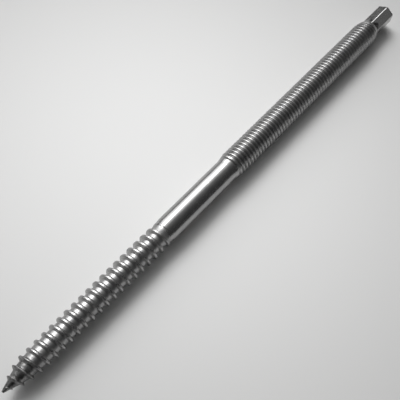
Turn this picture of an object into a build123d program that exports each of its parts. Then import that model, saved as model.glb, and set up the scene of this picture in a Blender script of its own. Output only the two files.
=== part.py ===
"""Hanger bolt, M8: a wood-screw point and coarse thread on one end, a metric thread on
the other, a plain shank between them and a small hexagon to drive it by.

It is one piece of cold-formed steel, lying along X on its machine thread with its point
towards -X. Millimetres, +Z up, origin on the surface under the middle of the bolt.
"""

import os
from math import atan2, ceil, cos, degrees, radians, tan

from build123d import *

# Lengths along the bolt, from the tip
wood_end_length = 57.5  # point, wood thread and neck
shank_length = 24.5
machine_end_length = 73.0  # shoulder, machine thread and its rounded end
hexagon_length = 10.0

# Shank
shank_diameter = 7.0
neck_length = 4.4  # cone from the wood thread's core up to the shank

# Machine thread, M8 x 1.25, drawn as the cylinder over its crests
machine_diameter = 7.9
machine_pitch = 1.25
run_out_pitches = 2.5  # the shoulder between the shank and the full thread
rounded_end_length = 3.5
rounded_end_bulge = 0.29  # how far the rounded end stands out from a straight cone

# Drive hexagon
across_flats = 5.5
corner_rounding = 0.4
hexagon_root_length = 1.5  # cone that runs out over the flats
hexagon_end_chamfer = 0.3
hexagon_turn = 0.0  # degrees from a corner pointing straight up

# Point and core of the wood thread: cones that flatten towards the full core
tip_diameter = 0.6
point_cone_diameter = 3.8
point_cone_length = 4.8
point_shoulder_diameter = 5.0
point_shoulder_length = 8.0  # from the tip, as the lengths either side of it
point_length = 12.5
core_diameter = 5.5

# Ridge of the wood thread
wood_pitch = 2.5
crest_diameter = 7.2  # at the neck, where the thread is fullest
first_crest_diameter = 6.76  # of the first crest at full height
first_crest_distance = 8.5  # from the tip
point_crest_diameter = 5.9  # halfway up the point
point_crest_distance = 5.9
tip_crest_diameter = 1.1  # where the ridge rises out of the point
tip_crest_distance = 0.8
early_crest_diameter = 4.2
early_crest_distance = 3.6
run_out_diameter = 6.1  # where the ridge has sunk into the neck
run_out_turns = 1.8
crest_width = 0.35
tip_crest_width = 0.12
flank_angle = 25.0  # each flank, from square to the axis
root_depth = 0.15  # how deep the ridge is set into the core
thread_turn = -60.0  # degrees from the ridge starting straight up

shank_start = wood_end_length
shank_end = shank_start + shank_length
hexagon_start = shank_end + machine_end_length
overall_length = hexagon_start + hexagon_length
neck_start = shank_start - neck_length

shank_radius = shank_diameter / 2
machine_radius = machine_diameter / 2
flats_radius = across_flats / 2
corner_radius = flats_radius / cos(radians(30))

bolt_axis = Axis((-overall_length / 2, 0, machine_radius), (1, 0, 0))
side_view = Plane(origin=bolt_axis.position, x_dir=(1, 0, 0), z_dir=(0, -1, 0))
hexagon_plane = Plane(
    origin=bolt_axis.position + Vector(hexagon_start, 0, 0), x_dir=(0, 0, 1), z_dir=(1, 0, 0)
)

# Outline of the core under the wood thread: distance from the tip, radius
core_outline = [
    (0, tip_diameter / 2),
    (point_cone_length, point_cone_diameter / 2),
    (point_shoulder_length, point_shoulder_diameter / 2),
    (point_length, core_diameter / 2),
    (neck_start, core_diameter / 2),
    (shank_start, shank_radius),
]


def core_radius_at(distance):
    """Radius of the core at a distance from the tip."""
    for (start, start_radius), (end, end_radius) in zip(core_outline, core_outline[1:]):
        if distance < end:
            return start_radius + (end_radius - start_radius) * (distance - start) / (end - start)
    return shank_radius


def turn_by_turn(stations):
    """The same stations with others evenly between them, at most one turn apart."""
    closer = [stations[0]]
    for start, end in zip(stations, stations[1:]):
        count = ceil((end[0] - start[0]) / wood_pitch)
        for i in range(1, count + 1):
            closer.append(tuple(a + (b - a) * i / count for a, b in zip(start, end)))
    return closer


def rail(distances, offsets, radii):
    """One edge line of the ridge: helices joined end to end at the stations."""
    helices = []
    turned = 0.0
    for i, (start, end) in enumerate(zip(distances, distances[1:])):
        turns = (end - start) / wood_pitch
        run = end + offsets[i + 1] - start - offsets[i]
        cone_angle = atan2(radii[i + 1] - radii[i], run)
        helix = Edge.make_helix(
            pitch=run / turns / cos(cone_angle),
            height=run,
            radius=radii[i],
            center=bolt_axis.position + Vector(start + offsets[i], 0, 0),
            normal=bolt_axis.direction,
            angle=degrees(cone_angle),
        )
        helices.append(helix.rotate(bolt_axis, thread_turn + 360 * turned))
        turned += turns
    return helices


def wood_thread_ridge():
    """The wood thread as one closed right-hand ridge, set into the core."""
    run_out_start = neck_start - wood_pitch * run_out_turns / 4
    run_out_end = run_out_start + wood_pitch * run_out_turns
    stations = turn_by_turn(
        [
            (tip_crest_distance, tip_crest_diameter, tip_crest_width),
            (early_crest_distance, early_crest_diameter, tip_crest_width),
            (point_crest_distance, point_crest_diameter, tip_crest_width),
            (first_crest_distance, first_crest_diameter, crest_width),
            (run_out_start, crest_diameter, crest_width),
            (run_out_end, run_out_diameter, crest_width),
        ]
    )
    distances = [distance for distance, _, _ in stations]
    crests = [diameter / 2 for _, diameter, _ in stations]
    roots = [min(core_radius_at(d), crest) - root_depth for d, crest in zip(distances, crests)]
    half_crests = [width / 2 for _, _, width in stations]
    spread = tan(radians(flank_angle))
    half_roots = [
        half + (crest - root) * spread for half, crest, root in zip(half_crests, crests, roots)
    ]
    rails = [
        rail(distances, [-half for half in half_roots], roots),
        rail(distances, [-half for half in half_crests], crests),
        rail(distances, half_crests, crests),
        rail(distances, half_roots, roots),
    ]
    faces = [
        Face.make_surface_from_curves(one, other)
        for rail_a, rail_b in zip(rails, rails[1:] + rails[:1])
        for one, other in zip(rail_a, rail_b)
    ]
    faces.append(Face(Wire.make_polygon([helices[0] @ 0 for helices in rails])))
    faces.append(Face(Wire.make_polygon([helices[-1] @ 1 for helices in rails])))
    return Solid(Shell(faces))


ridge = wood_thread_ridge()

with BuildPart() as hanger_bolt:
    # Turned form: point, core, neck, shank and the cylinder over the machine thread
    with BuildSketch(side_view):
        with BuildLine():
            turned = Polyline(
                (0, 0),
                *core_outline,
                (shank_end, shank_radius),
                (shank_end + run_out_pitches * machine_pitch, machine_radius),
                (hexagon_start - rounded_end_length, machine_radius),
            )
            rounded_end = SagittaArc(
                turned @ 1, (hexagon_start, corner_radius), rounded_end_bulge
            )
            Polyline(
                rounded_end @ 1,
                (hexagon_start + hexagon_root_length, flats_radius),
                (hexagon_start + hexagon_root_length, 0),
                turned @ 0,
            )
        make_face()
    revolve(axis=bolt_axis)

    # Drive hexagon with rounded corners
    with BuildSketch(hexagon_plane) as hexagon:
        RegularPolygon(flats_radius, side_count=6, major_radius=False, rotation=hexagon_turn)
        fillet(hexagon.vertices(), corner_rounding)
    extrude(amount=hexagon_length)
    hexagon_end = hanger_bolt.faces().sort_by(Axis.X)[-1]
    chamfer(hexagon_end.edges(), hexagon_end_chamfer)

    # Wood thread
    add(ridge)

hanger_bolt.part.label = "hanger_bolt"
os.makedirs("parts", exist_ok=True)
export_step(hanger_bolt.part, "parts/hanger_bolt.step")
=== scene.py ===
"""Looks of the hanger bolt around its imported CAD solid, in Blender 4.5.

One fine closed mesh stands for the bolt: blunt point, rolled wood thread, neck, shank, a
real helical machine thread, its rounded end and the drive hexagon. Its shape is a radius
for every distance along the bolt, in millimetres from the tip, and every angle round it,
from the +Y side towards straight up. Skin.add() turns these into metres in the CAD frame.
"""

from collections import namedtuple
from math import atan2, cos, pi, radians, sin, tan

import bpy
import numpy as np
from mathutils import Matrix, Vector


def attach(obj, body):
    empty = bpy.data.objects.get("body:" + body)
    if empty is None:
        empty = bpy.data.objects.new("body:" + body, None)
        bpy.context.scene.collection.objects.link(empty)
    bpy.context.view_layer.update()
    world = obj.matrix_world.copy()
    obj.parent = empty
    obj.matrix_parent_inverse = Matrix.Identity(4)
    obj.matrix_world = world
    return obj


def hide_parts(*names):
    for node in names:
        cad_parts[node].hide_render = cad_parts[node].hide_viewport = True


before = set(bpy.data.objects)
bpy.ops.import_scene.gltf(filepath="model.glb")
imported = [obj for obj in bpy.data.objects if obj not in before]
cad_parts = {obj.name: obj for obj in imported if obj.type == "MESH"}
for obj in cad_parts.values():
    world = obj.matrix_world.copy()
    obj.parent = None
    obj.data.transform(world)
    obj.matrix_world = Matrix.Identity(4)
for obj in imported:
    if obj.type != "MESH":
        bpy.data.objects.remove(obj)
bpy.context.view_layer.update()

MM = 0.001

# ---------------------------------------------------------------- driving values, mm
OVERALL = 165.0
AXIS_HEIGHT = 3.95

SHANK_R = 3.5
NECK_START = 53.1
SHANK_START = 57.5
SHANK_RINGS = 7  # rings of the mesh between the two threaded stretches

# Core under the wood thread: distance, radius
CORE = [
    (0.0, 0.30), (2.4, 1.10), (4.6, 1.86), (6.9, 2.33), (9.5, 2.63), (12.5, 2.75),
    (NECK_START - 0.6, 2.75), (54.6, 3.08), (55.3, 3.21), (SHANK_START + 0.1, SHANK_R),
]
# The tip is rounded off by rings: distance, share of the core's radius at TIP_ROUNDING
TIP_ROUNDING = 0.25
TIP_RINGS = [(0.13, 0.97), (0.045, 0.83), (0.008, 0.55)]

WOOD_PITCH = 2.5
WOOD_MESH_TURNS = 24  # from TIP_ROUNDING, over the neck and a little of the shank
WOOD_START = 0.8  # the ridge rises here, at WOOD_START_ANGLE
WOOD_START_ANGLE = radians(30)
WOOD_LEAD = 0.3  # and nothing of it is left this far before
# Ridge: distance, crest radius, half width of the crest
RIDGE = [
    (0.0, 0.20, 0.05), (0.8, 0.55, 0.05), (3.6, 2.18, 0.05), (5.9, 2.97, 0.07),
    (8.5, 3.38, 0.16), (13.0, 3.42, 0.23), (30.0, 3.54, 0.25), (50.5, 3.60, 0.25),
    (52.1, 3.58, 0.25), (54.0, 3.47, 0.25), (56.2, 3.27, 0.25), (58.0, 3.10, 0.23),
    (60.0, 2.90, 0.21),
]
RIDGE_FLANK = tan(radians(27))  # each flank, from square to the axis
RIDGE_CREST_SOFT = 0.06
RIDGE_ROOT_SOFT = 0.26
CREST_WAVE = 0.018  # unevenness of the crest's radius, and of its half width
CREST_WIDTH_WAVE = 0.02
# Edge lines of the mesh across one pitch, from the middle of the ridge
WOOD_COLUMNS = [
    -0.55, -0.48, -0.41, -0.34, -0.28, -0.22, -0.15, 0.0, 0.15, 0.22, 0.28, 0.34,
    0.41, 0.48, 0.55, 0.63, 0.74, 0.92, 1.12, 1.32, 1.52, 1.68, 1.79, 1.87,
]

MACHINE_PITCH = 1.25
MACHINE_MESH_TURNS = 60  # up to MACHINE_END, beginning on the last of the shank
MACHINE_END = 155.2
MACHINE_R = 3.95
MACHINE_ROOT_R = 3.25
MACHINE_ROOT_HALF = 0.06
MACHINE_FLANK = tan(radians(30))  # likewise
MACHINE_PHASE = 0.90  # where a groove's middle crosses straight up, in pitches
MACHINE_ROOT_SOFT = 0.05
MACHINE_CREST_SOFT = 0.045
MACHINE_WAVE = 0.006  # unevenness of the outside
MACHINE_WAVE_STRETCH = 0.7
# Outside of the machine thread with its shoulder and rounded end: distance, radius
MACHINE_OUTSIDE = [
    (80.0, 3.50), (81.9, 3.50), (82.6, 3.58), (83.3, 3.67), (83.9, 3.76), (84.6, 3.86),
    (85.2, 3.95), (151.3, 3.95), (152.0, 3.90), (152.7, 3.81), (153.4, 3.68),
    (154.1, 3.48), (154.7, 3.27), (155.2, 3.08),
]
# Bottom of its grooves, which run out into the shoulder
MACHINE_BOTTOM = [
    (80.0, 3.66), (82.2, 3.58), (83.4, 3.44), (86.0, MACHINE_ROOT_R), (160.0, MACHINE_ROOT_R),
]
# Edge lines of the mesh across one pitch, from the middle of a groove
MACHINE_COLUMNS = [
    0.0, 0.05, 0.10, 0.22, 0.36, 0.45, 0.50, 0.56, 0.625, 0.69, 0.75, 0.80, 0.89, 1.03,
    1.15, 1.20,
]

HEX_SIDES = 6
HEX_FLAT_R = 2.75
HEX_CORNER_ROUND = 0.58
HEX_CHAMFER = 0.32
# Cone that runs out over the flats: distance, radius
HEX_ROOT = [
    (154.9, 3.14), (155.5, 2.98), (156.1, 2.86), (156.8, 2.74), (157.5, 2.55), (166.0, 2.4),
]
HEX_ROOT_SOFT = 0.22
# Rings of its mesh up to the chamfer, and its edge lines in degrees from a corner
HEX_RINGS = [
    155.4, 155.6, 155.85, 156.1, 156.35, 156.6, 156.9, 157.3, 157.9, 159.5, 162.0, 164.2,
]
HEX_COLUMNS = [0.0, 1.0, 2.0, 3.0, 3.9, 4.8, 6.5, 9.0, 13.0, 18.0, 23.0, 27.0, 30.0]
# Rings of the softened chamfer: distance from its edge, or from the end, and inward step
HEX_EDGE_RINGS = [(-0.12, 0.0), (-0.03, 0.008), (0.05, 0.045)]
HEX_END_RINGS = [
    (-0.10, HEX_CHAMFER - 0.11), (-0.03, HEX_CHAMFER - 0.03), (-0.004, HEX_CHAMFER + 0.06),
]
HEX_END_SHARES = (0.8, 0.5, 0.2)  # rings across the end face

SEGMENTS = 60  # steps of the mesh in one turn of a thread


# ---------------------------------------------------------------- shapes as height fields
def smooth_table(points):
    """Monotone cubic through (place, value) points, as a function of numpy arrays."""
    x = np.array([place for place, _ in points], float)
    y = np.array([value for _, value in points], float)
    gap = np.diff(x)
    slope = np.diff(y) / gap
    tangent = np.zeros_like(y)
    tangent[0], tangent[-1] = slope[0], slope[-1]
    for i in range(1, len(x) - 1):
        if slope[i - 1] * slope[i] > 0:
            before, after = 2 * gap[i] + gap[i - 1], gap[i] + 2 * gap[i - 1]
            tangent[i] = (before + after) / (before / slope[i - 1] + after / slope[i])

    def value(at):
        at = np.clip(at, x[0], x[-1])
        i = np.clip(np.searchsorted(x, at) - 1, 0, len(gap) - 1)
        t = (at - x[i]) / gap[i]
        return (
            y[i] * (1 + 2 * t) * (1 - t) ** 2 + tangent[i] * gap[i] * t * (1 - t) ** 2
            + y[i + 1] * t * t * (3 - 2 * t) + tangent[i + 1] * gap[i] * t * t * (t - 1)
        )

    return value


def smooth_max(a, b, soft):
    """The larger of a and b, filleted where they are nearly equal."""
    mix = np.clip(0.5 + 0.5 * (b - a) / soft, 0, 1)
    return a + (b - a) * mix + soft * mix * (1 - mix)


def smooth_min(a, b, soft):
    """The smaller of a and b, filleted where they are nearly equal."""
    return -smooth_max(-a, -b, soft)


def ramp(x, soft):
    """0 below zero and x above it, rounded at the corner."""
    return 0.5 * (x + np.sqrt(x * x + soft * soft)) - 0.5 * soft * np.exp(-np.abs(x) / soft)


def wobble(d, angle, seed):
    """Slow irregularity, about -1 to 1, that closes round the bolt."""
    broad = np.sin(1.7 * d + angle + seed) * np.sin(0.61 * d - 2 * angle + 2.3 * seed)
    fine = np.sin(3.9 * d + 3 * angle + 0.7 * seed) * np.sin(2.3 * d - 5 * angle + seed)
    return (broad + 0.6 * fine) / 1.6


core_radius = smooth_table(CORE)
ridge_radius = smooth_table([(d, radius) for d, radius, _ in RIDGE])
ridge_half = smooth_table([(d, half) for d, _, half in RIDGE])
machine_outside = smooth_table(MACHINE_OUTSIDE)
machine_bottom = smooth_table(MACHINE_BOTTOM)
hex_root = smooth_table(HEX_ROOT)


def wood_radius(d, angle):
    """Radius of the wood-thread end at distances d and angles, both arrays."""
    turns = (angle - WOOD_START_ANGLE) / (2 * pi)
    nearest = np.round((d - WOOD_START) / WOOD_PITCH - turns)
    radius = core_radius(d)
    for turn in (nearest - 1, nearest, nearest + 1):
        centre = WOOD_START + WOOD_PITCH * (turns + turn)
        crest = ridge_radius(centre) + CREST_WAVE * wobble(centre, angle, seed=1.0)
        half = ridge_half(centre) + CREST_WIDTH_WAVE * wobble(centre, angle, seed=4.0)
        ridge = crest - ramp(np.abs(d - centre) - half, RIDGE_CREST_SOFT) / RIDGE_FLANK
        ridge = np.where(centre < WOOD_START - WOOD_LEAD, 0.0, ridge)
        radius = smooth_max(radius, ridge, RIDGE_ROOT_SOFT)
    return radius


def machine_radius(d, angle):
    """Radius of the machine-thread end at distances d and angles, both arrays."""
    turns = (angle - pi / 2) / (2 * pi) + MACHINE_PHASE
    centre = MACHINE_PITCH * (np.round(d / MACHINE_PITCH - turns) + turns)
    away = np.abs(d - centre) - MACHINE_ROOT_HALF
    groove = machine_bottom(centre) + ramp(away, MACHINE_ROOT_SOFT) / MACHINE_FLANK
    wave = MACHINE_WAVE * wobble(MACHINE_WAVE_STRETCH * d, angle, seed=2.0)
    outside = np.minimum(machine_outside(d) + wave, MACHINE_R)
    return smooth_min(outside, groove, MACHINE_CREST_SOFT)


def hex_radius(angle, flat):
    """Polar radius of the hexagon with rounded corners, one of them straight up."""
    half_side = pi / HEX_SIDES
    from_corner = (angle - pi / 2 + half_side) % (2 * half_side) - half_side
    side = flat / np.cos(half_side - np.abs(from_corner))
    centre = (flat - HEX_CORNER_ROUND) / cos(half_side)
    inside = HEX_CORNER_ROUND**2 - (centre * np.sin(from_corner)) ** 2
    arc = centre * np.cos(from_corner) + np.sqrt(np.maximum(inside, 0))
    reach = atan2(
        HEX_CORNER_ROUND * sin(half_side), centre + HEX_CORNER_ROUND * cos(half_side)
    )
    return np.where(np.abs(from_corner) < reach, arc, side)


# ---------------------------------------------------------------- one closed mesh
class Skin:
    """Collects vertices and faces of the bolt, from the tip to the hexagon's end."""

    def __init__(self):
        self.points = []
        self.faces = []
        self.count = 0

    def add(self, d, angle, radius):
        """Adds points at distances, angles and radii, and returns their numbers."""
        d, angle, radius = np.broadcast_arrays(
            np.asarray(d, float), np.asarray(angle, float), np.asarray(radius, float)
        )
        x = d - OVERALL / 2
        y = radius * np.cos(angle)
        z = AXIS_HEIGHT + radius * np.sin(angle)
        numbers = np.arange(self.count, self.count + d.size).reshape(d.shape)
        self.points.append(np.stack([x, y, z], axis=-1).reshape(-1, 3) * MM)
        self.count += d.size
        return numbers

    def grid(self, numbers):
        """Quads between the rows and columns of an array of point numbers.

        Corners that share a point make a triangle, or no face at all.
        """
        corners = (numbers[:-1, :-1], numbers[1:, :-1], numbers[1:, 1:], numbers[:-1, 1:])
        for corner in zip(*(array.ravel() for array in corners)):
            face = [int(number) for number in dict.fromkeys(corner)]
            if len(face) > 2:
                self.faces.append(face)

    def strip(self, ring_a, ring_b):
        """Joins two rings with the same number of points."""
        rings = np.stack([np.append(ring_a, ring_a[0]), np.append(ring_b, ring_b[0])])
        self.grid(rings.T)

    def fan(self, ring, pole):
        """Closes a ring with triangles to one point.

        A known fault: both times it is called, they face into the bolt, and the rest of the
        mesh faces out. Swapping number and following puts it right.
        """
        for number, following in zip(ring, np.roll(ring, -1)):
            self.faces.append([int(pole), int(number), int(following)])

    def zip_rings(self, ring_a, angles_a, ring_b, angles_b):
        """Joins two rings with different numbers of points, by their angles."""
        start = angles_a[0]
        order = np.argsort((angles_b - start) % (2 * pi))
        a = list(ring_a) + [ring_a[0]]
        b = list(ring_b[order]) + [ring_b[order[0]]]
        at_a = list((angles_a - start) % (2 * pi)) + [2 * pi]
        at_b = list((angles_b[order] - start) % (2 * pi))
        at_b.append(2 * pi + at_b[0])
        i = j = 0
        while i < len(a) - 1 or j < len(b) - 1:
            if j == len(b) - 1 or (i < len(a) - 1 and at_a[i + 1] <= at_b[j + 1]):
                self.faces.append([int(a[i]), int(a[i + 1]), int(b[j])])
                i += 1
            else:
                self.faces.append([int(a[i]), int(b[j + 1]), int(b[j])])
                j += 1

    def thread(self, start, turns, pitch, first_angle, offsets, radius_at):
        """A threaded stretch whose edge lines follow the helix, with a plain ring at each end.

        offsets are the places of the edge lines in a pitch, from 0 up to below 1. Returns
        the two end rings and the angles of their points.
        """
        columns = np.append(offsets, 1.0)
        width = len(columns) - 1
        end = start + pitch * turns
        turned = np.arange(SEGMENTS + 1) / SEGMENTS
        angles = first_angle + 2 * pi * turned

        def place(d, angle):
            return self.add(d, angle, radius_at(d, angle))

        def on_helix(row, column):
            """Points where rows, counted in steps round the bolt, cross the edge lines."""
            return place(
                start + pitch * (row / SEGMENTS + columns[column]),
                first_angle + 2 * pi * row / SEGMENTS,
            )

        # all turns but the last, which has only its first edge line to close on
        rows = np.arange(SEGMENTS * (turns - 1) + 1)
        body = np.zeros((len(rows), width + 1), int)
        body[:, :-1] = on_helix(*np.meshgrid(rows, np.arange(width), indexing="ij"))
        first_line = np.append(body[:, 0], on_helix(rows[-1] + 1 + np.arange(SEGMENTS), 0))
        body[:, -1] = first_line[SEGMENTS:]
        self.grid(body)

        # a wedge that opens from the start ring
        step, column = np.meshgrid(np.arange(1, SEGMENTS), np.arange(width), indexing="ij")
        opening = np.zeros((SEGMENTS + 1, width + 1), int)
        opening[1:-1, :-1] = place(start + pitch * turned[step] * columns[column], angles[step])
        opening[:, -1] = first_line[:SEGMENTS + 1]
        opening[0, :] = first_line[0]
        opening[-1, :] = body[0, :]
        self.grid(opening)

        # and one that closes on the end ring
        left = pitch * (1 - turned[step])
        closing = np.zeros((SEGMENTS + 1, width + 1), int)
        closing[1:-1, 1:] = place(end - left + left * columns[column + 1], angles[step])
        closing[:, 0] = first_line[-(SEGMENTS + 1):]
        closing[0, :] = body[-1, :]
        closing[-1, :] = first_line[-1]
        self.grid(closing)

        return opening[:-1, 0], closing[:-1, -1], angles[:-1]

    def build(self, name):
        """Makes the mesh and its object."""
        mesh = bpy.data.meshes.new(name)
        mesh.from_pydata(np.concatenate(self.points).tolist(), [], self.faces)
        mesh.validate()
        mesh.update()
        mesh.polygons.foreach_set("use_smooth", [True] * len(mesh.polygons))
        piece = bpy.data.objects.new(name, mesh)
        bpy.context.scene.collection.objects.link(piece)
        return piece


def add_wood_end(skin):
    """Wood thread and rounded tip. Returns where it ends, its end ring and the angles."""
    lead = -WOOD_COLUMNS[0]
    first_angle = WOOD_START_ANGLE + 2 * pi * (lead - (WOOD_START - TIP_ROUNDING)) / WOOD_PITCH
    start_ring, end_ring, angles = skin.thread(
        TIP_ROUNDING, WOOD_MESH_TURNS, WOOD_PITCH, first_angle,
        [(x + lead) / WOOD_PITCH for x in WOOD_COLUMNS], wood_radius,
    )
    previous = start_ring
    for d, share in TIP_RINGS:
        ring = skin.add(d, angles, share * core_radius(TIP_ROUNDING))
        skin.strip(ring, previous)
        previous = ring
    skin.fan(previous, skin.add(0.0, 0.0, 0.0))
    return TIP_ROUNDING + WOOD_MESH_TURNS * WOOD_PITCH, end_ring, angles


def add_machine_end(skin, shank_from, previous, angles):
    """Shank and machine thread, from the wood end's ring. Returns the end ring and angles."""
    start = MACHINE_END - MACHINE_MESH_TURNS * MACHINE_PITCH
    for d in np.linspace(shank_from, start, SHANK_RINGS + 2)[1:-1]:
        ring = skin.add(d, angles, SHANK_R)
        skin.strip(previous, ring)
        previous = ring
    # the first edge line starts in the middle of a groove
    turn = start / MACHINE_PITCH - MACHINE_PHASE
    start_ring, end_ring, machine_angles = skin.thread(
        start, MACHINE_MESH_TURNS, MACHINE_PITCH, pi / 2 + 2 * pi * (turn - np.floor(turn)),
        [x / MACHINE_PITCH for x in MACHINE_COLUMNS], machine_radius,
    )
    skin.zip_rings(previous, angles, start_ring, machine_angles)
    return end_ring, machine_angles


def add_hexagon(skin, previous, angles):
    """Drive hexagon, from the machine thread's end ring to its flat end."""
    columns = sorted({sign * x for x in HEX_COLUMNS for sign in (-1, 1)} - {-HEX_COLUMNS[-1]})
    hex_angles = np.radians(
        [90 + 360 / HEX_SIDES * k + x for k in range(HEX_SIDES) for x in columns]
    )
    body = hex_radius(hex_angles, HEX_FLAT_R)
    rings = [(d, smooth_max(body, hex_root(d), HEX_ROOT_SOFT)) for d in HEX_RINGS]
    steps = [(OVERALL - HEX_CHAMFER + away, inward) for away, inward in HEX_EDGE_RINGS]
    steps += [(OVERALL + away, inward) for away, inward in HEX_END_RINGS]
    rings += [(d, hex_radius(hex_angles, HEX_FLAT_R - inward)) for d, inward in steps]
    face = hex_radius(hex_angles, HEX_FLAT_R - HEX_CHAMFER)
    rings += [(OVERALL, share * face) for share in HEX_END_SHARES]

    d, radius = rings[0]
    ring = skin.add(d, hex_angles, radius)
    skin.zip_rings(previous, angles, ring, hex_angles)
    for d, radius in rings[1:]:
        following = skin.add(d, hex_angles, radius)
        skin.strip(ring, following)
        ring = following
    skin.fan(ring[::-1], skin.add(OVERALL, 0.0, 0.0))


def build_bolt():
    """The whole bolt as one closed mesh."""
    skin = Skin()
    shank_from, ring, angles = add_wood_end(skin)
    ring, angles = add_machine_end(skin, shank_from, ring, angles)
    add_hexagon(skin, ring, angles)
    return skin.build("hanger_bolt_detailed")


# ---------------------------------------------------------------- shader nodes
class Graph:
    """Short ways to add nodes to one node tree."""

    def __init__(self, tree):
        self.nodes, self.links = tree.nodes, tree.links

    def feed(self, socket, value):
        """Links a socket to the output of a node, or sets it to a plain value."""
        if isinstance(value, bpy.types.NodeSocket):
            self.links.new(value, socket)
        else:
            socket.default_value = value

    def node(self, kind, inputs, output, **settings):
        """Adds a node, feeds its inputs by name or number, and returns one output."""
        node = self.nodes.new(kind)
        for name, value in settings.items():
            setattr(node, name, value)
        for key, value in inputs.items():
            self.feed(node.inputs[key], value)
        return node.outputs[output]

    def math(self, operation, *values):
        """The result of a math operation on sockets or numbers."""
        return self.node("ShaderNodeMath", dict(enumerate(values)), 0, operation=operation)

    def total(self, first, *others):
        """The sum of sockets or numbers."""
        for other in others:
            first = self.math("ADD", first, other)
        return first

    def product(self, first, *others):
        """The product of sockets or numbers."""
        for other in others:
            first = self.math("MULTIPLY", first, other)
        return first

    def fade(self, value, low, high, levels=(0.0, 1.0), smooth=False):
        """Goes from the first level at low to the second at high, and stays there."""
        return self.node(
            "ShaderNodeMapRange",
            {"Value": value, "From Min": low, "From Max": high, "To Min": levels[0],
             "To Max": levels[1]},
            "Result", interpolation_type="SMOOTHSTEP" if smooth else "LINEAR",
        )

    def noise(self, vector, scale, detail, roughness, distortion=0.0):
        """Noise over a vector, about 0 to 1."""
        return self.node(
            "ShaderNodeTexNoise",
            {"Vector": vector, "Scale": scale, "Detail": detail, "Roughness": roughness,
             "Distortion": distortion},
            "Fac",
        )

    def split(self, vector):
        """X, Y and Z of a vector."""
        node = self.nodes.new("ShaderNodeSeparateXYZ")
        self.links.new(vector, node.inputs[0])
        return node.outputs

    def scaled(self, vector, scale):
        """A vector, or a colour, times a number."""
        return self.node(
            "ShaderNodeVectorMath", {0: vector, "Scale": scale}, 0, operation="SCALE"
        )


def new_material(name):
    """A material, its graph and its shader."""
    material = bpy.data.materials.new(name)
    material.use_nodes = True
    graph = Graph(material.node_tree)
    return material, graph, graph.nodes["Principled BSDF"]


# ---------------------------------------------------------------- steel
STEEL_COLOURS = ((0.30, 0.30, 0.303, 1), (0.345, 0.343, 0.338, 1))  # from patch to patch
FLANK_PAINTED_LIGHT = 1.35  # painted light: the flanks of the wood thread get a paler colour, standing in for light their hollows miss
POINT_DARKENING = (0.58, 0.10)  # share of its colour that the point loses, in blotches and between

# Zones of the finish: none of it at the first distance from the tip, all of it at the second
WOOD_ZONE = (55.9, 54.5)
TURNS_ZONE = (53.5, 52.5)  # whole turns of the wood thread, clear of the neck
POINT_ZONE = (11.5, 7.5)
NECK_ZONE = ((53.0, 54.0), (56.0, 55.0))
THREAD_ZONE = ((83.0, 84.0), (156.0, 155.0))
# and the same by radius
CREST_ZONE = (3.15, 3.35)
FLANK_ZONE = ((2.85, 3.00), (3.35, 3.20))

ROUGHNESS = (0.15, 0.21)  # from patch to patch
ROUGHNESS_GRAIN = (-0.02, 0.04)  # what the grain adds
# what each zone adds
ROUGHER = {"point": 0.03, "wood": 0.15, "crest": -0.06, "flank": 0.18, "neck": 0.10,
           "thread": 0.11}

# Noise: scale, detail, roughness and, for some, distortion
CLOUD_NOISE = (420.0, 4.0, 0.6)  # makes the patches
GRAIN_NOISE = (5200.0, 3.0, 0.6)
MARK_NOISE = (2100.0, 2.0, 0.55, 0.4)
BLOTCH_NOISE = (950.0, 3.0, 0.6, 0.3)
DRAWN_NOISE = (1.0, 3.0, 0.5)
DRAWN_STRETCH = (90, 2600, 2600)  # makes it into fine lines along the bolt
# Values of the noise over which it takes effect
CLOUD_SPAN = (0.3, 0.7)
GRAIN_SPAN = (0.35, 0.65)
BLOTCH_SPAN = (0.40, 0.58)

# Heights in the bump, where the drawn lines have 1
GRAIN_HEIGHT = 0.8
WOOD_MARKS = 3.2  # die marks on the wood thread, and what rough places and the point add
ROUGH_MARKS = 3.2
POINT_MARKS = 4.0
BUMP_STRENGTH = 0.35
BUMP_DISTANCE = 0.02  # mm


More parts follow.
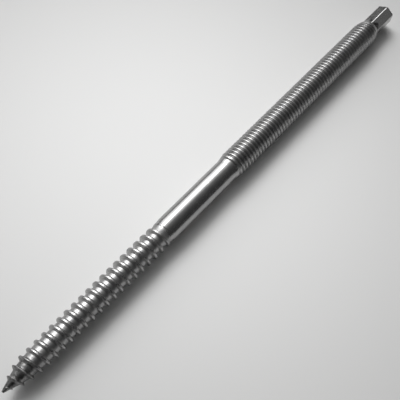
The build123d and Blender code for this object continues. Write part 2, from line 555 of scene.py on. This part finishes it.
def steel_material():
    """Bright zinc-plated steel, smooth on the shank and marked by the dies on the threads."""
    material, graph, shader = new_material("zinc_plated_steel")
    shader.inputs["Metallic"].default_value = 1.0
    place = graph.nodes.new("ShaderNodeTexCoord").outputs["Object"]
    x, y, z = graph.split(place)
    up = graph.math("SUBTRACT", z, AXIS_HEIGHT * MM)
    radius = graph.math("SQRT", graph.total(graph.product(y, y), graph.product(up, up)))

    def along(zone, smooth=True):
        start, end = ((d - OVERALL / 2) * MM for d in zone)
        return graph.fade(x, start, end, smooth=smooth)

    def out(zone):
        return graph.fade(radius, zone[0] * MM, zone[1] * MM)

    wood, point = along(WOOD_ZONE), along(POINT_ZONE)
    crest = graph.product(wood, out(CREST_ZONE))
    flank = graph.product(along(TURNS_ZONE), out(FLANK_ZONE[0]), out(FLANK_ZONE[1]))
    neck = graph.product(along(NECK_ZONE[0]), along(NECK_ZONE[1]))
    thread = graph.product(along(THREAD_ZONE[0], False), along(THREAD_ZONE[1], False))
    rough_place = graph.math("MAXIMUM", crest, graph.math("MAXIMUM", point, neck))

    stretched = graph.node(
        "ShaderNodeMapping", {"Vector": place, "Scale": DRAWN_STRETCH}, "Vector"
    )
    drawn = graph.noise(stretched, *DRAWN_NOISE)
    cloud = graph.noise(place, *CLOUD_NOISE)
    grain = graph.noise(place, *GRAIN_NOISE)
    marks = graph.noise(place, *MARK_NOISE)
    blotches = graph.noise(place, *BLOTCH_NOISE)

    colour = graph.node(
        "ShaderNodeMix",
        {0: graph.fade(cloud, *CLOUD_SPAN), 6: STEEL_COLOURS[0], 7: STEEL_COLOURS[1]},
        2, data_type="RGBA",
    )
    # the point's colour is darker all round, in blotches
    point_darkening = graph.product(point, graph.fade(blotches, *BLOTCH_SPAN, POINT_DARKENING))
    # painted light: the colour is made paler on the wood thread's flanks, standing in for light
    # they miss
    darkening_and_painted_light = graph.product(
        graph.math("SUBTRACT", 1.0, point_darkening), graph.fade(flank, 0, 1, (1.0, FLANK_PAINTED_LIGHT))
    )
    graph.feed(shader.inputs["Base Color"], graph.scaled(colour, darkening_and_painted_light))

    zones = {"point": point, "wood": wood, "crest": crest, "flank": flank, "neck": neck,
             "thread": thread}
    rough = graph.total(
        graph.fade(cloud, *CLOUD_SPAN, ROUGHNESS),
        *(graph.product(zones[name], gain) for name, gain in ROUGHER.items()),
        graph.fade(grain, *GRAIN_SPAN, ROUGHNESS_GRAIN),
    )
    graph.feed(shader.inputs["Roughness"], rough)

    mark_height = graph.total(
        graph.product(wood, WOOD_MARKS), graph.product(rough_place, ROUGH_MARKS),
        graph.product(point, POINT_MARKS),
    )
    height = graph.total(
        drawn, graph.product(grain, GRAIN_HEIGHT), graph.product(marks, mark_height)
    )
    normal = graph.node(
        "ShaderNodeBump",
        {"Strength": BUMP_STRENGTH, "Distance": BUMP_DISTANCE * MM, "Height": height},
        "Normal",
    )
    graph.feed(shader.inputs["Normal"], normal)
    return material


# ---------------------------------------------------------------- floor, metres
FLOOR_HALF = 3.0
FLOOR_COLOUR = (0.955, 0.955, 0.95)
PAINTED_POOL_MIDDLE = (-0.003, 0.028, 0.0)  # the floor's colour is palest here, a painted pool of light
PAINTED_POOL_REACH = 0.145  # and darkest from this far on
PAINTED_POOL_EDGE = 0.55  # share of the colour that is left there
FLOOR_ROUGHNESS = 0.9
FLOOR_SPECULAR = 0.1


def floor_material():
    """Pale sheet with a painted pool of light: its colour is a little darker away from its
    middle.
    """
    material, graph, shader = new_material("pale_floor")
    place = graph.nodes.new("ShaderNodeTexCoord").outputs["Object"]
    away = graph.node(
        "ShaderNodeVectorMath", {0: place, 1: PAINTED_POOL_MIDDLE}, "Value", operation="DISTANCE"
    )
    # painted light: the colour fades from the middle outwards like a pool of light
    level = graph.fade(away, 0, PAINTED_POOL_REACH, (1, PAINTED_POOL_EDGE), smooth=True)
    graph.feed(shader.inputs["Base Color"], graph.scaled(FLOOR_COLOUR, level))
    shader.inputs["Roughness"].default_value = FLOOR_ROUGHNESS
    shader.inputs["Specular IOR Level"].default_value = FLOOR_SPECULAR
    return material


def build_floor():
    """The surface that the bolt lies on, which isn't part of it."""
    corners = [(-1, -1), (1, -1), (1, 1), (-1, 1)]
    mesh = bpy.data.meshes.new("floor")
    mesh.from_pydata([(x * FLOOR_HALF, y * FLOOR_HALF, 0) for x, y in corners], [],
                     [(0, 1, 2, 3)])
    mesh.materials.append(floor_material())
    floor = bpy.data.objects.new("floor", mesh)
    bpy.context.scene.collection.objects.link(floor)


# ---------------------------------------------------------------- light
# Directions are in degrees. lean: from straight up towards +Y. across: the same towards +X.
# aside: out of the upright plane across the bolt, towards +X. Each light is its radiance by
# lean times its reach by aside or across, both as (angle, level) stops.
Light = namedtuple("Light", "by_lean peak reach_by reach")

LIGHTS = [
    # the room, dimmest low on the -Y side and towards the ends of the bolt
    Light([(-180, 0.5), (-95, 0.5), (-88, 0.085), (-60, 0.075), (-40, 0.095), (-20, 0.14),
           (0, 0.15), (20, 0.20), (45, 0.32), (75, 0.42), (88, 0.5), (180, 0.5)], 1.0,
          "aside", [(-180, 0.05), (-30, 0.05), (-6, 1.0), (39, 1.0), (43, 0.15), (180, 0.12)]),
    # the window, broad and soft, high on the +Y side
    Light([(-30, 0.0), (-20, 0.05), (-10, 0.10), (-3, 0.20), (3, 0.38), (9, 0.68), (16, 1.05),
           (21, 1.6), (26, 3.6), (30, 7.0), (34, 8.0), (43, 7.8), (47, 3.8), (52, 0.0)], 8.0,
          "across", [(-180, 0.0), (-9, 0.0), (-1, 1.0), (35, 1.0), (43, 0.6), (50, 0.45),
                     (53, 0.0), (180, 0.0)]),
    # its dimmer lower part
    Light([(40, 0.0), (50, 1.9), (66, 2.1), (71, 1.3), (78, 0.0)], 3.0,
          "aside", [(-180, 0.0), (-9, 0.0), (-1, 1.0), (36, 1.0), (43, 0.0), (180, 0.0)]),
    # a small light past the window, for the corner of the hexagon
    Light([(22, 0.0), (28, 5.5), (46, 5.5), (52, 0.0)], 6.0,
          "aside", [(-180, 0.0), (40.5, 0.0), (42.5, 1.0), (47, 1.0), (49, 0.0), (180, 0.0)]),
    # a glow on the -Y side, for the flats of the hexagon
    Light([(-180, 0.33), (-20, 0.33), (10, 0.20), (50, 0.02), (180, 0.02)], 1.0,
          "aside", [(-180, 0.0), (40, 0.0), (43, 1.0), (47, 1.0), (52, 0.0), (180, 0.0)]),
    # pale walls past both ends
    Light([(-180, 0.35), (180, 0.35)], 1.0,
          "aside", [(-180, 1.0), (-75, 1.0), (-60, 0.0), (60, 0.0), (75, 0.4), (180, 0.4)]),
    # and a paler stretch past the point, on the +Y side
    Light([(-180, 0.0), (5, 0.0), (20, 0.28), (100, 0.28), (180, 0.0)], 1.0,
          "aside", [(-180, 1.0), (-40, 1.0), (-22, 0.0), (180, 0.0)]),
]
BACKDROP = 0.42  # the far side of the room all round, about as pale as the floor's far part
BACKDROP_TOP = (2.5, 4.0)  # it ends softly between these heights over the horizon, in degrees


def stops_ramp(graph, angle, stops, peak):
    """Level over an angle from -180 to 180, from (angle, level) stops up to a peak."""
    node = graph.nodes.new("ShaderNodeValToRGB")
    elements = node.color_ramp.elements
    for _ in range(len(stops) - len(elements)):
        elements.new(0.5)
    for element, (at, level) in zip(elements, stops):
        element.position = (at + 180) / 360
        element.color = (level / peak,) * 3 + (1,)
    graph.feed(node.inputs[0], graph.fade(angle, -180, 180))
    return graph.product(node.outputs[0], peak)


def build_world():
    """A dim room with one broad soft window high on the +Y side."""
    world = bpy.data.worlds.new("soft_window_light")
    bpy.context.scene.world = world
    world.use_nodes = True
    graph = Graph(world.node_tree)
    x, y, z = graph.split(graph.nodes.new("ShaderNodeTexCoord").outputs["Generated"])

    def in_degrees(operation, *values):
        return graph.product(graph.math(operation, *values), 180 / pi)

    lean = in_degrees("ARCTAN2", y, z)
    angles = {"aside": in_degrees("ARCSINE", x), "across": in_degrees("ARCTAN2", x, z)}
    light = graph.total(*(
        graph.product(
            stops_ramp(graph, lean, by_lean, peak),
            stops_ramp(graph, angles[reach_by], reach, 1.0),
        )
        for by_lean, peak, reach_by, reach in LIGHTS
    ))
    backdrop = graph.fade(in_degrees("ARCSINE", z), *BACKDROP_TOP, (1, 0), smooth=True)
    seen = graph.node("ShaderNodeMix", {"Factor": backdrop, "A": light, "B": BACKDROP}, "Result")
    graph.feed(graph.nodes["Background"].inputs["Color"], seen)


# ---------------------------------------------------------------- camera
SENSOR = 36.0  # mm
LENS = 61.02  # mm
CLIP = (0.01, 20.0)  # metres
LOOK_AT = 70.08  # mm from the tip, where the view's middle meets the bolt
OFF_AXIS = 0.66  # mm from the bolt's axis to the view's middle, across the bolt
DISTANCE = 185.91  # mm
TILT = radians(23.75)  # towards the point
LEAN = radians(16.0)  # towards -Y
ROLL = radians(44.8)  # the bolt's rise across the frame


def build_camera():
    """The camera, high over the bolt on the point's side, with the bolt across the frame."""
    data = bpy.data.cameras.new("camera")
    data.sensor_width = SENSOR
    data.lens = LENS
    data.clip_start, data.clip_end = CLIP
    camera = bpy.data.objects.new("camera", data)
    bpy.context.scene.collection.objects.link(camera)
    bpy.context.scene.camera = camera

    bolt_line = Vector((1, 0, 0))
    up = Vector((0, -sin(LEAN), cos(LEAN)))
    back = (cos(TILT) * up - sin(TILT) * bolt_line).normalized()
    along = (bolt_line - back * back.x).normalized()
    across = back.cross(along)
    right = cos(ROLL) * along - sin(ROLL) * across
    top = sin(ROLL) * along + cos(ROLL) * across
    target = Vector((LOOK_AT - OVERALL / 2, 0, AXIS_HEIGHT)) - OFF_AXIS * across
    matrix = Matrix((right, top, back)).transposed().to_4x4()
    matrix.translation = (target + DISTANCE * back) * MM
    camera.matrix_world = matrix


bolt = build_bolt()
bolt.data.materials.append(steel_material())
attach(bolt, "root")
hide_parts("hanger_bolt")
build_floor()
build_world()
build_camera()

bpy.context.scene.view_settings.view_transform = "Standard"
